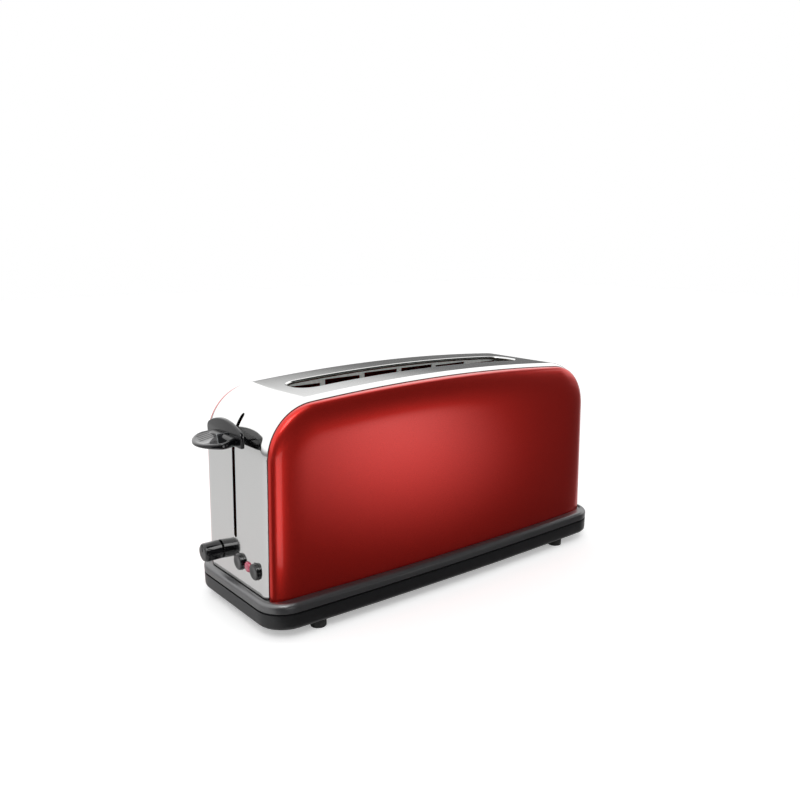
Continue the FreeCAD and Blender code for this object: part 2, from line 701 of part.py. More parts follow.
def slider_block():
    """Plastic block that runs on the guide rod."""
    block = box("-(rod_x + slider_half)", "-plate_x", "rod_y - slider_half", "rod_y + slider_half",
                "slider_z", "slider_z + slider_high")
    bore = rod("z", "-rod_x", "rod_y", "slider_z - 1", "rod_radius + run_gap", "slider_high + 2")
    return part("slider_block", cut(block, bore))


def arm_block():
    return box("-(body_half + shield_thick + arm_socket)", "-plate_x", "-arm_thick / 2", "arm_thick / 2",
               "arm_low", "arm_low + arm_high")


def lever_knob():
    """Moulded paddle with the round-topped shield behind it, socketed on the arm."""
    paddle = new_body("lever_z - paddle_high / 2")
    root, tip = "-(body_half + shield_thick / 2)", "-(base_half + paddle_reach)"
    wide = tip + " + paddle_nose"
    outline = new_sketch(paddle, "XY_Plane")
    draw(outline, [(root, "paddle_root"), (wide, "paddle_half"), (wide, "-paddle_half"), (root, "-paddle_root")],
         {1: "(paddle_half ^ 2 + paddle_nose ^ 2) / (2 * paddle_nose)"})
    pad(paddle, outline, "paddle_high")
    corner = value("paddle_half") - 1
    round_edges(paddle, "paddle_nose * 2 / 3",
                lambda edge: upright(edge) and abs(edge.BoundBox.YMax) > corner)
    round_edges(paddle, "paddle_high / 2 - 0.5", level(0))
    round_edges(paddle, "paddle_high / 6", level(value("paddle_high")))
    shield = new_body()
    plate = new_sketch(shield, "YZ_Plane", "-body_half")
    low = "lever_z - paddle_high / 2"
    high = low + " + shield_side"
    draw(plate, [("-shield_half", low), ("shield_half", low), ("shield_half", high), ("-shield_half", high)],
         {2: "(shield_half ^ 2 + shield_rise ^ 2) / (2 * shield_rise)"})
    pad(shield, plate, "shield_thick", reversed=True)
    side = value("shield_half")
    round_edges(shield, "shield_round",
                lambda edge: edge.BoundBox.XLength > 1 and edge.BoundBox.YLength < 1e-4
                and abs(abs(edge.BoundBox.YMax) - side) < 1e-4)
    front = -value("body_half") - value("shield_thick")
    round_edges(shield, "shield_thick / 3",
                lambda edge: abs(edge.BoundBox.XMin - front) < 1e-4 and abs(edge.BoundBox.XMax - front) < 1e-4)
    return part("lever_knob", cut(fuse(paddle, shield), arm_block()))


def carriage_spring():
    """Coil spring that pulls the carriage up to its stop."""
    low, high = value("slider_z"), value("rod_top")
    radius, wire, turns = value("spring_radius"), value("spring_wire") / 2, value("spring_turns")
    length = high - low - 2 * wire
    path = Part.Wire(Part.makeHelix(length / turns, length, radius).Edges)
    section = Part.Wire([Part.makeCircle(wire, FreeCAD.Vector(radius, 0, 0), FreeCAD.Vector(0, 1, 0))])
    coil = path.makePipeShell([section], True, True)
    coil.translate(FreeCAD.Vector(-value("rod_x"), -value("spring_y"), low + wire))
    return feature("carriage_spring", Part.makeCompound([coil]))


def upright_block(half, low, high):
    """Square block on the magnet's upright axis."""
    return box("-(magnet_x + %s)" % half, "-(magnet_x - %s)" % half,
               "-(magnet_y + %s)" % half, "-(magnet_y - %s)" % half, low, high)


def carriage_stand():
    """Fixed pieces of the lift: rod, bridge, stop pad, magnet."""
    part("guide_rod", rod("z", "-rod_x", "rod_y", "deck", "rod_radius", "rod_top - deck"))
    part("rod_bridge", box("-(rod_x + bridge_over)", "-(chassis_x + sheet_metal)", "-(spring_y + bridge_edge)",
                           "rod_y + slider_half", "rod_top", "rod_top + bridge_thick"))
    pad_high = "slider_z - lever_down - stop_gap - deck"
    pad_block = rod("z", "-rod_x", "rod_y", "deck", "rod_radius + stop_wall", pad_high)
    part("stop_pad", cut(pad_block, rod("z", "-rod_x", "rod_y", "deck - 1", "rod_radius", pad_high + " + 2")))
    core = upright_block("magnet_half", "deck", "magnet_top")
    coil = upright_block("coil_half", "deck + coil_gap", "magnet_top - coil_short")
    window = upright_block("magnet_half", "deck", "magnet_top")
    part("magnet_core", core)
    part("magnet_coil", cut(coil, window))
    part("keeper_plate", box("-(magnet_x + keeper_half)", "-plate_x", "-(magnet_y + keeper_half)",
                             "-(magnet_y - keeper_half)", "keeper_z", "keeper_z + keeper_thick"))


# ---- controls ---------------------------------------------------------------------------

def turned(z, y, x, points, rounded=None):
    """Revolution about a line along X through y, z; points are (x, radius) from x."""
    body = doc.addObject("PartDesign::Body", "Body")
    place(body, x, y, z)
    profile = new_sketch(body, "XZ_Plane")
    draw(profile, points)
    revolve(body, profile, "H_Axis")
    if rounded:
        face, radius = rounded
        edge_x = value(face)
        reach = max(abs(edge.BoundBox.ZMax) for edge in body.Tip.Shape.Edges
                    if abs(edge.BoundBox.XMin - edge_x) < 1e-4 and abs(edge.BoundBox.XMax - edge_x) < 1e-4)
        round_edges(body, radius, lambda edge: abs(edge.BoundBox.XMax - edge_x) < 1e-4
                    and abs(edge.BoundBox.XMin - edge_x) < 1e-4 and abs(edge.BoundBox.ZMax - reach) < 1e-3)
    return body


def browning_knob():
    """Round knob, hollow for its shaft."""
    socket = "knob_long * 0.6"
    points = [("0", "shaft_radius"), ("0", "knob_radius - knob_gap"), ("-knob_long", "knob_radius"),
              ("-knob_long", "0"), ("-(%s)" % socket, "0"), ("-(%s)" % socket, "shaft_radius")]
    part("browning_knob", turned("control_z", "knob_y", "-(end_x + knob_gap)", points, ("-knob_long", "knob_radius / 3")))
    far = "end_x + knob_gap + " + socket
    part("knob_shaft", rod("x", "-(%s)" % far, "knob_y", "control_z", "shaft_radius",
                           "%s - (board_x + board_thick + shaft_gap)" % far))


def push_button(label, y):
    """Cap with a retaining flange and a stem that reaches the switch."""
    points = [("-button_proud", "0"), ("stem_end", "0"), ("stem_end", "stem_radius"),
              ("flange_x + flange_thick", "stem_radius"), ("flange_x + flange_thick", "flange_radius"),
              ("flange_x", "flange_radius"), ("flange_x", "button_radius"),
              ("-button_proud", "button_radius")]
    part(label, turned("button_z", y, "-button_x", points, ("-button_proud", "button_round")))


def lamp():
    """Red lens in the cover, and the lamp behind it on the board."""
    back = "lamp_x - carrier_x - carrier_thick"
    points = [("-lens_proud", "0"), (back, "0"), (back, "lamp_radius"), ("-lens_proud", "lamp_radius")]
    part("lamp_lens", turned("lamp_z", "lamp_y", "-lamp_x", points, ("-lens_proud", "lens_round")))
    tip = "carrier_x + carrier_thick - bulb_short"
    part("lamp_bulb", rod("x", "-(%s)" % tip, "lamp_y", "lamp_z", "bulb_radius",
                          "%s - board_x - board_thick" % tip))


def control_parts():
    """Board, carrier and what is soldered on the board, all standing on the deck."""
    front = "-(board_x + board_thick)"
    gap = "carrier_x - board_x - board_thick"
    drill, depth = "-(carrier_x + carrier_thick + 1)", "carrier_thick + 2"
    part("control_board", box(front, "-board_x", "-board_half", "board_half", "deck", "board_top"))
    plate = box("-(carrier_x + carrier_thick)", "-carrier_x", "-board_half", "board_half", "deck",
                "board_top - carrier_short")
    posts = [rod("x", "-carrier_x", side + "(board_half - post_inset)", "board_top - post_drop",
                 "post_radius", gap) for side in ("-", "")]
    holes = [rod("x", drill, "knob_y", "control_z", "shaft_radius + 1", depth),
             rod("x", drill, "lamp_y", "lamp_z", "bulb_radius + slack", depth)]
    for y in ("first_button", "second_button"):
        holes.append(rod("x", drill, y, "button_z", "stem_radius + run_gap", depth))
    part("control_carrier", cut(fuse(plate, *posts), *holes))
    dial = box("-(carrier_x - dial_gap)", front, "knob_y - dial_half", "knob_y + dial_half",
               "control_z - dial_half", "control_z + dial_half")
    bore = rod("x", "-carrier_x", "knob_y", "control_z", "shaft_radius + run_gap", gap + " - dial_floor")
    part("browning_dial", cut(dial, bore))
    switches = [box("-(switch_x)", front, y + " - switch_half", y + " + switch_half",
                    "button_z - switch_half", "button_z + switch_half")
                for y in ("first_button", "second_button")]
    part("button_switches", group(*switches))
    relay = box("-board_x", "-board_x + relay_x", "relay_y", "relay_y + relay_wide",
                "deck + relay_z", "deck + relay_z + relay_high")
    transformer = box("-board_x", "-board_x + coil_x", "coil_y", "coil_y + coil_wide",
                      "deck + coil_z", "deck + coil_z + coil_high")
    capacitor = rod("x", "-board_x", "can_y", "deck + can_z", "can_radius", "can_long")
    part("board_components", group(relay, transformer, capacitor))
    part("terminal_block", box("chassis_x + block_room", "chassis_x + block_room + block_long",
                               "-block_half", "block_half", "deck", "deck + block_high"))


def crumb_tray():
    """Shallow pan that closes the window in the lower tier with its end wall."""
    body = new_body()
    pan = new_sketch(body, "XY_Plane", "tray_low")
    draw_box(pan, "-tray_x", "base_half - tray_gap", "-tray_half", "tray_half")
    pad(body, pan, "tray_high")
    hollow = new_sketch(body, "XY_Plane", "tray_low + tray_high")
    draw_box(hollow, "-(tray_x - tray_wall)", "base_half - base_wall - tray_gap", "-(tray_half - tray_wall)",
             "tray_half - tray_wall")
    pocket(body, hollow, "tray_high - tray_wall")
    return part("crumb_tray", body)


def build_all():
    base_lower()
    base_upper()
    feet()
    base_screws()
    cord_gland()
    steel_cover()
    side_panel("front_panel", -1)
    side_panel("rear_panel", 1)
    slot_lip()
    for name, side in (("front", -1), ("rear", 1)):
        reflector("reflector_" + name, side)
        mica("mica_" + name, side)
        winding("winding_" + name, side)
        bread_guide("guide_" + name, side)
    chassis("chassis_lever_end", -1)
    chassis("chassis_far_end", 1)
    bread_rack()
    carriage_plate()
    slider_block()
    part("lever_arm", arm_block())
    lever_knob()
    carriage_spring()
    carriage_stand()
    browning_knob()
    push_button("button_cancel", "first_button")
    push_button("button_defrost", "second_button")
    lamp()
    control_parts()
    crumb_tray()


build_all()
doc.recompute()
for thing in doc.Objects:
    if "Invalid" in thing.State or "Error" in thing.State:
        raise RuntimeError("%s (%s) failed: %s" % (thing.Label, thing.TypeId, thing.State))
for thing in parts:
    if thing.Shape.isNull() or not thing.Shape.isValid():
        raise RuntimeError("%s has no valid shape" % thing.Label)
    if not thing.Shape.Solids:
        raise RuntimeError("%s has no solid" % thing.Label)
os.makedirs("parts", exist_ok=True)
for thing in parts:
    thing.Shape.exportStep(os.path.join("parts", thing.Label + ".step"))
    print(thing.Label, len(thing.Shape.Solids), "solid", round(thing.Shape.Volume), "mm3")
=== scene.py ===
import json
import math
import bpy
import bmesh
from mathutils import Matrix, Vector


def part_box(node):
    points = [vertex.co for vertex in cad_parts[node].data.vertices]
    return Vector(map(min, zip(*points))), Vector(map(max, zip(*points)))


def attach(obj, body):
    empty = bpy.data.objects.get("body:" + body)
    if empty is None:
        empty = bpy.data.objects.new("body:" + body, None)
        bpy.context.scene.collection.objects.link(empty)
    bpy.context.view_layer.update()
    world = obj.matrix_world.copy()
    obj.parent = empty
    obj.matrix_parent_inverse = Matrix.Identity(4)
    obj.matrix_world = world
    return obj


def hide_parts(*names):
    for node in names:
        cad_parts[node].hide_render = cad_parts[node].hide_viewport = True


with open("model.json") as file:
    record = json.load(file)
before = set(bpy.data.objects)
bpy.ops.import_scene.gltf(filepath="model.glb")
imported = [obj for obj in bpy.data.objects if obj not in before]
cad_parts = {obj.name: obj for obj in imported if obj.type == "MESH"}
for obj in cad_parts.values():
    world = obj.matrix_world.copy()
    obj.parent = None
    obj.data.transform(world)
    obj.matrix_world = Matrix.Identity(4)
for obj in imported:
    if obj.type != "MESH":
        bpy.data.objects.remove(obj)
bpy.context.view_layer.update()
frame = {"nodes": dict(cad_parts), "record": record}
mm = 0.001

print("stage: helpers")


def linear(hexColour):
    channels = [int(hexColour[i:i + 2], 16) / 255 for i in (1, 3, 5)]
    return [c / 12.92 if c <= 0.04045 else ((c + 0.055) / 1.055) ** 2.4 for c in channels] + [1.0]


def addNode(tree, kind, settings=None, links=None):
    node = tree.nodes.new(kind)
    for name, value in (settings or {}).items():
        if hasattr(node, name):
            setattr(node, name, value)
        else:
            node.inputs[name].default_value = value
    for name, source in (links or {}).items():
        tree.links.new(source, node.inputs[name])
    return node


def startMaterial(name):
    material = bpy.data.materials.new(name)
    material.use_nodes = True
    tree = material.node_tree
    shader = tree.nodes["Principled BSDF"]
    where = addNode(tree, "ShaderNodeTexCoord")
    return material, tree, shader, where.outputs["Object"]


def setShader(shader, **values):
    names = {"colour": "Base Color", "metal": "Metallic", "rough": "Roughness", "ior": "IOR",
             "coat": "Coat Weight", "coatRough": "Coat Roughness", "through": "Transmission Weight",
             "subsurface": "Subsurface Weight", "emit": "Emission Strength", "emitColour": "Emission Color"}
    for key, value in values.items():
        shader.inputs[names[key]].default_value = value


def grain(tree, where, size, stretch=(1, 1, 1), detail=2.0):
    # noise whose cells are size metres across, longer where stretch is below 1
    spread = addNode(tree, "ShaderNodeMapping", {"Scale": stretch}, {"Vector": where})
    return addNode(tree, "ShaderNodeTexNoise", {"Scale": 1 / size, "Detail": detail},
                   {"Vector": spread.outputs["Vector"]}).outputs["Fac"]


def wearFrom(tree, shader, pattern, colours=None, rough=None, bump=None, stops=(0.3, 0.7)):
    # one pattern carries the colour, the roughness and the relief of a finish
    if colours:
        ramp = addNode(tree, "ShaderNodeValToRGB", {}, {"Fac": pattern})
        for element, position, colour in zip(ramp.color_ramp.elements, stops, colours):
            element.position = position
            element.color = linear(colour)
        tree.links.new(ramp.outputs["Color"], shader.inputs["Base Color"])
    if rough:
        low, high = rough
        spread = addNode(tree, "ShaderNodeMapRange", {"To Min": low, "To Max": high}, {"Value": pattern})
        tree.links.new(spread.outputs["Result"], shader.inputs["Roughness"])
    if bump:
        relief = addNode(tree, "ShaderNodeBump", {"Distance": bump}, {"Height": pattern})
        tree.links.new(relief.outputs["Normal"], shader.inputs["Normal"])


print("stage: materials")


def polishedStainless():
    # deep-drawn 18/8 sheet, polished then faintly lined along its length: soft mirror with a stretched gleam
    material, tree, shader, where = startMaterial("polished stainless steel")
    setShader(shader, colour=linear("#D2D2D1"), metal=1.0)
    lines = grain(tree, where, 0.5 * mm, (0.02, 1, 1))
    wearFrom(tree, shader, lines, rough=(0.06, 0.10))
    return material


def metallicRedEnamel():
    # sprayed metallic red under clear lacquer: sparkle from flake, depth from the coat
    material, tree, shader, where = startMaterial("metallic red lacquer on steel")
    setShader(shader, metal=0.85, coat=0.35, coatRough=0.08)
    flake = grain(tree, where, 0.35 * mm, detail=1.0)
    wearFrom(tree, shader, flake, colours=("#B81E18", "#CC2B22"), stops=(0.35, 0.65), rough=(0.32, 0.38))
    return material


def satinBlackAbs():
    # ABS moulded in a fine-spark-eroded tool: black with an even satin sheen
    material, tree, shader, where = startMaterial("satin black ABS")
    setShader(shader, colour=linear("#262628"), rough=0.34, ior=2.1)
    spark = grain(tree, where, 0.6 * mm)
    wearFrom(tree, shader, spark, rough=(0.30, 0.40), bump=0.012 * mm)
    return material


def deepBlackAbs():
    # the same ABS with a closer texture: reads nearly black beside the satin tier
    material, tree, shader, where = startMaterial("deep black textured ABS")
    setShader(shader, colour=linear("#101012"), ior=1.5)
    spark = grain(tree, where, 0.8 * mm)
    wearFrom(tree, shader, spark, rough=(0.36, 0.46), bump=0.02 * mm)
    return material


def glossBlackAbs():
    # ABS from a polished tool: black with a sharp highlight
    material, tree, shader, where = startMaterial("gloss black ABS")
    setShader(shader, colour=linear("#0B0B0D"), ior=1.53)
    haze = grain(tree, where, 4 * mm)
    wearFrom(tree, shader, haze, rough=(0.07, 0.13))
    return material


def mouldedRubber():
    # nitrile rubber, moulded: dull and slightly dusty
    material, tree, shader, where = startMaterial("moulded black rubber")
    dust = grain(tree, where, 1.5 * mm)
    wearFrom(tree, shader, dust, colours=("#161616", "#222221"))
    setShader(shader, rough=0.75, ior=1.52)
    wearFrom(tree, shader, dust, bump=0.03 * mm)
    return material


def aluminisedSheet():
    # hot-dip aluminised steel: pale grey with a soft spangle
    material, tree, shader, where = startMaterial("aluminised steel sheet")
    setShader(shader, metal=1.0)
    spangle = grain(tree, where, 6 * mm)
    wearFrom(tree, shader, spangle, colours=("#8E8E8C", "#A9A9A6"), rough=(0.28, 0.42))
    return material


def micaBoard():
    # pressed mica: silvery brown flakes
    material, tree, shader, where = startMaterial("pressed mica board")
    flake = grain(tree, where, 3 * mm, detail=4.0)
    wearFrom(tree, shader, flake, colours=("#8F8264", "#B5A888"))
    setShader(shader, rough=0.45, ior=1.58)
    wearFrom(tree, shader, flake, bump=0.02 * mm)
    return material


def nichromeRibbon():
    # rolled nickel-chrome ribbon, browned by heat
    material, tree, shader, where = startMaterial("nichrome ribbon")
    heat = grain(tree, where, 8 * mm)
    setShader(shader, metal=1.0, rough=0.4)
    wearFrom(tree, shader, heat, colours=("#6E6158", "#8C7D70"))
    return material


def drawnSteel():
    # drawn and ground rod or wire: bright with lines along it
    material, tree, shader, where = startMaterial("drawn steel")
    lines = grain(tree, where, 0.4 * mm, (1, 1, 0.05))
    setShader(shader, colour=linear("#B4B4B4"), metal=1.0)
    wearFrom(tree, shader, lines, rough=(0.2, 0.34))
    return material


def dulledZincWire():
    # zinc plated flat wire, dulled by crumbs and heat: grey from any side
    material, tree, shader, where = startMaterial("dulled zinc wire")
    bloom = grain(tree, where, 3 * mm)
    setShader(shader, metal=0.3, rough=0.45)
    wearFrom(tree, shader, bloom, colours=("#B9B9B7", "#D0D0CD"))
    return material


def zincPlate():
    # blue-passivated zinc on a pressed part
    material, tree, shader, where = startMaterial("zinc plated steel")
    bloom = grain(tree, where, 5 * mm)
    setShader(shader, metal=1.0, rough=0.36)
    wearFrom(tree, shader, bloom, colours=("#9EA3A6", "#B4B8B8"))
    return material


def enamelledCopper():
    # enamelled copper wire, wound side by side
    material, tree, shader, where = startMaterial("enamelled copper winding")
    wires = grain(tree, where, 0.5 * mm, (0.05, 0.05, 1))
    wearFrom(tree, shader, wires, colours=("#8A4A22", "#C06F37"))
    setShader(shader, metal=0.8, rough=0.3, coat=0.5, coatRough=0.1)
    wearFrom(tree, shader, wires, bump=0.1 * mm)
    return material


def paperLaminate():
    # phenolic paper board: brown with a woven blush
    material, tree, shader, where = startMaterial("phenolic paper laminate")
    fibre = grain(tree, where, 1.0 * mm)
    wearFrom(tree, shader, fibre, colours=("#8B6532", "#A67C44"))
    setShader(shader, rough=0.4, ior=1.55)
    return material


def naturalNylon():
    # natural nylon 66 moulding: milky off-white
    material, tree, shader, where = startMaterial("natural nylon")
    cloud = grain(tree, where, 6 * mm)
    wearFrom(tree, shader, cloud, colours=("#CFCABB", "#DFDBCF"))
    setShader(shader, rough=0.42, ior=1.53, subsurface=0.05)
    return material


def rubyLens():
    # tinted clear acrylic over an unlit lamp: pink-red with a gloss cap
    material, tree, shader, where = startMaterial("ruby acrylic lens")
    cloud = grain(tree, where, 2 * mm)
    wearFrom(tree, shader, cloud, colours=("#B8254A", "#D24A6C"))
    setShader(shader, rough=0.12, ior=1.49, through=0.25, coat=0.5, coatRough=0.05)
    return material


stainless = polishedStainless()
redLacquer = metallicRedEnamel()
satinBlack = satinBlackAbs()
deepBlack = deepBlackAbs()
glossBlack = glossBlackAbs()
rubber = mouldedRubber()
aluminised = aluminisedSheet()
mica = micaBoard()
nichrome = nichromeRibbon()
drawn = drawnSteel()
zinc = zincPlate()
dulledZinc = dulledZincWire()
copper = enamelledCopper()
laminate = paperLaminate()
nylon = naturalNylon()
ruby = rubyLens()

print("stage: mesh helpers")


softAngle = 35  # edges sharper than this many degrees stay crisp
weldGap = 0.005 * mm


def meshObject(name, bm, material=None):
    mesh = bpy.data.meshes.new(name)
    bm.to_mesh(mesh)
    bm.free()
    made = bpy.data.objects.new(name, mesh)
    bpy.context.scene.collection.objects.link(made)
    if material:
        mesh.materials.append(material)
    return made


def smoothMesh(mesh, angle=softAngle):
    mesh.shade_smooth()
    mesh.set_sharp_from_angle(angle=math.radians(angle))


def joinFrame(piece, node, body):
    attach(piece, body)
    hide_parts(node)
    return piece


def finishPiece(name, bm, material, node, body, smooth=softAngle):
    # a bmesh in metres becomes a named piece that rides on a body and stands for a node
    bmesh.ops.remove_doubles(bm, verts=bm.verts, dist=weldGap)
    bmesh.ops.recalc_face_normals(bm, faces=bm.faces)
    piece = meshObject(name, bm, material)
    smoothMesh(piece.data, smooth)
    return joinFrame(piece, node, body)


def bakeModifiers(piece):
    # apply what is on the piece, so that its mesh is final
    depsgraph = bpy.context.evaluated_depsgraph_get()
    weighed = "weigh" in piece.modifiers
    mesh = bpy.data.meshes.new_from_object(piece.evaluated_get(depsgraph))
    piece.modifiers.clear()
    piece.data = mesh
    if not weighed:
        smoothMesh(mesh)


def addLoop(bm, points, closed):
    verts = [bm.verts.new(p) for p in points]
    edges = [bm.edges.new((verts[i], verts[i + 1])) for i in range(len(verts) - 1)]
    if closed:
        edges.append(bm.edges.new((verts[-1], verts[0])))
    return edges


def bridgeAll(bm, loops):
    for first, second in zip(loops, loops[1:]):
        bmesh.ops.bridge_loops(bm, edges=first + second)


def insetOutline(outline, inset):
    # a counter-clockwise convex outline moved inwards
    count = len(outline)
    moved = []
    for i, (u, v) in enumerate(outline):
        before, after = outline[i - 1], outline[(i + 1) % count]
        ahead = Vector((after[0] - u, after[1] - v)).normalized()
        behind = Vector((u - before[0], v - before[1])).normalized()
        across = Vector((-(ahead.y + behind.y), ahead.x + behind.x))
        across = across.normalized() / max(0.5, across.length / 2)
        moved.append((u + across.x * inset, v + across.y * inset))
    return moved


def stackLoops(outline, steps, place):
    # closed solid through the outline at each (inset, height)
    bm = bmesh.new()
    loops = [addLoop(bm, [place(u, v, height) for u, v in insetOutline(outline, inset)], True)
             for inset, height in steps]
    bridgeAll(bm, loops)
    for loop in (loops[0], loops[-1]):
        bmesh.ops.contextual_create(bm, geom=loop)
    return bm


def spinProfile(profile, centre, axis, segments):
    # closed turned solid: profile is (distance along the axis, radius), both ends on the axis
    bm = bmesh.new()
    side = Vector((0, 0, 1)) if abs(axis.x) > 0.5 else Vector((1, 0, 0))
    edges = addLoop(bm, [centre + axis * along + side * radius for along, radius in profile], False)
    bmesh.ops.spin(bm, geom=edges + list(bm.verts), cent=centre, axis=axis, angle=math.tau, steps=segments,
                   use_merge=True)
    return bm


def roundCorner(centreU, centreV, radius, start, stop, count):
    return [(centreU + radius * math.cos(start + (stop - start) * i / count),
             centreV + radius * math.sin(start + (stop - start) * i / count)) for i in range(count + 1)]


coverLow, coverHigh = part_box("steel_cover")
lipLow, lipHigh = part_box("slot_lip")
panelLow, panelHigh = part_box("front_panel")
knobLow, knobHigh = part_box("browning_knob")
lensLow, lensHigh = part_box("lamp_lens")
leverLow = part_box("lever_knob")[0]
knobMid = (knobLow + knobHigh) / 2
lensMid = (lensLow + lensHigh) / 2
middleX = (coverLow.x + coverHigh.x) / 2
halfLong = coverHigh.x - middleX
seamY = coverHigh.y
deckZ = coverLow.z
topZ = coverHigh.z

print("stage: body outline")
bodyShape = {
    "drop": 9.6 * mm,
    "lean": 6.6 * mm,
    "shoulder": 48 * mm,
    "endSteps": 6,
    "cornerSteps": 30,
    "archSteps": 44,
}
cornerZ = topZ - bodyShape["drop"]
leanX = halfLong - bodyShape["lean"]
archRadius = (leanX ** 2 + bodyShape["drop"] ** 2) / (2 * bodyShape["drop"])
archZ = topZ - archRadius
leanLine = Vector((bodyShape["lean"], cornerZ - deckZ)).normalized()
leanOut = Vector((-leanLine.y, leanLine.x))  # outwards from the left end
shoulderGap = archRadius - bodyShape["shoulder"]


def shoulderCentre():
    # the point one shoulder radius inside both the leaning end and the arch
    low = Vector((-halfLong, deckZ)) - leanOut * bodyShape["shoulder"]
    toArch = low - Vector((0, archZ))
    along = toArch.dot(leanLine)
    reach = -along + math.sqrt(along * along - toArch.length_squared + shoulderGap ** 2)
    return low + leanLine * reach


shoulder = shoulderCentre()


def bodyOutline(inset):
    # open line from the left foot of the body over the arch to its right foot
    radius = bodyShape["shoulder"] - inset
    foot = Vector((-halfLong, deckZ)) - leanOut * inset
    foot += leanLine * ((deckZ - foot.y) / leanLine.y)
    start = math.atan2(leanOut.y, leanOut.x)
    lift = shoulder - Vector((0, archZ))
    stop = math.atan2(lift.y, lift.x)
    edgeTop = shoulder + leanOut * radius
    left = [foot.lerp(edgeTop, i / bodyShape["endSteps"]) for i in range(bodyShape["endSteps"])]
    turn = roundCorner(shoulder.x, shoulder.y, radius, start, stop, bodyShape["cornerSteps"])
    left += [Vector(p) for p in turn]
    spread = stop - math.pi / 2
    arch = roundCorner(0, archZ, archRadius - inset, math.pi / 2 + spread, math.pi / 2 - spread,
                       bodyShape["archSteps"])
    arch = [Vector(p) for p in arch]
    right = [Vector((-p.x, p.y)) for p in reversed(left)]
    return left + arch[1:-1] + right


def edgeDistance(x, z):
    # how far a point of the body's side lies inside its outline
    point = Vector((-abs(x), z))
    fromShoulder = point - shoulder
    if fromShoulder.dot(leanLine) > 0 and point.x < shoulder.x * (z - archZ) / (shoulder.y - archZ):
        return bodyShape["shoulder"] - fromShoulder.length
    toLine = -(point - Vector((-halfLong, deckZ))).dot(leanOut)
    return min(toLine, archRadius - (point - Vector((0, archZ))).length)


def archHeight(x):
    return archZ + math.sqrt(archRadius ** 2 - (x - middleX) ** 2)


def cutWith(piece, cutters):
    for cutter in cutters:
        cut = piece.modifiers.new("cut", "BOOLEAN")
        cut.operation = "DIFFERENCE"
        cut.solver = "EXACT"
        cut.object = cutter
    bakeModifiers(piece)
    for cutter in cutters:
        bpy.data.objects.remove(cutter)


def cutterFrom(bm):
    bmesh.ops.recalc_face_normals(bm, faces=bm.faces)
    return meshObject("cutter", bm)


def breakEdges(piece, width):
    # a small round on every crisp edge, with flat faces kept flat in the light
    bevel = piece.modifiers.new("bevel", "BEVEL")
    bevel.width = width
    bevel.segments = 2
    bevel.limit_method = "ANGLE"
    bevel.angle_limit = math.radians(40)
    weigh = piece.modifiers.new("weigh", "WEIGHTED_NORMAL")
    weigh.keep_sharp = True
    weigh.weight = 100
    bakeModifiers(piece)


print("stage: steel cover")
slotShape = {
    "halfLong": (lipHigh.x - lipLow.x) / 2 - 1 * mm,
    "halfWide": (lipHigh.y - lipLow.y) / 2 - 1 * mm,
    "corner": 16 * mm,
    "roll": 1.5 * mm,
    "seam": 0.05 * mm,
    "rollSteps": 6,
    "cornerSteps": 12,
    "longSteps": 30,
    "wall": 1 * mm,
    "skirt": 0.8 * mm,
    "edge": 0.3 * mm,
    "tuck": 1.2 * mm,
}


def slotOutline():
    # counter-clockwise stadium of the slot's mouth, points close enough along it to follow the arch
    halfLongSlot, halfWideSlot, corner = slotShape["halfLong"], slotShape["halfWide"], slotShape["corner"]
    points = []
    for signU, signV, start in ((1, -1, -90), (1, 1, 0), (-1, 1, 90), (-1, -1, 180)):
        points += roundCorner(signU * (halfLongSlot - corner), signV * (halfWideSlot - corner), corner,
                              math.radians(start), math.radians(start + 90), slotShape["cornerSteps"])
        if signU == signV:
            reach = halfLongSlot - corner
            steps = slotShape["longSteps"]
            points += [(signU * reach * (1 - 2 * i / steps), signV * halfWideSlot) for i in range(1, steps)]
    return points


slotMouth = slotOutline()
coverShape = {
    "rimFlat": seamY - 8 * mm,
    "rimRadius": 14 * mm,
    "rimSteps": 8,
    "steel": 1.0 * mm,
    "bevel": 0.28 * mm,
    "leverHalf": 2.5 * mm,
    "leverLow": 72 * mm,
    "leverHigh": 178 * mm,
    "holes": (("button_cancel", 7.4 * mm), ("button_defrost", 7.4 * mm), ("lamp_lens", 4.9 * mm),
              ("browning_knob", 4.0 * mm)),
    "mouthReach": 20 * mm,
    "punchBefore": 5 * mm,
    "punchPast": 25 * mm,
}


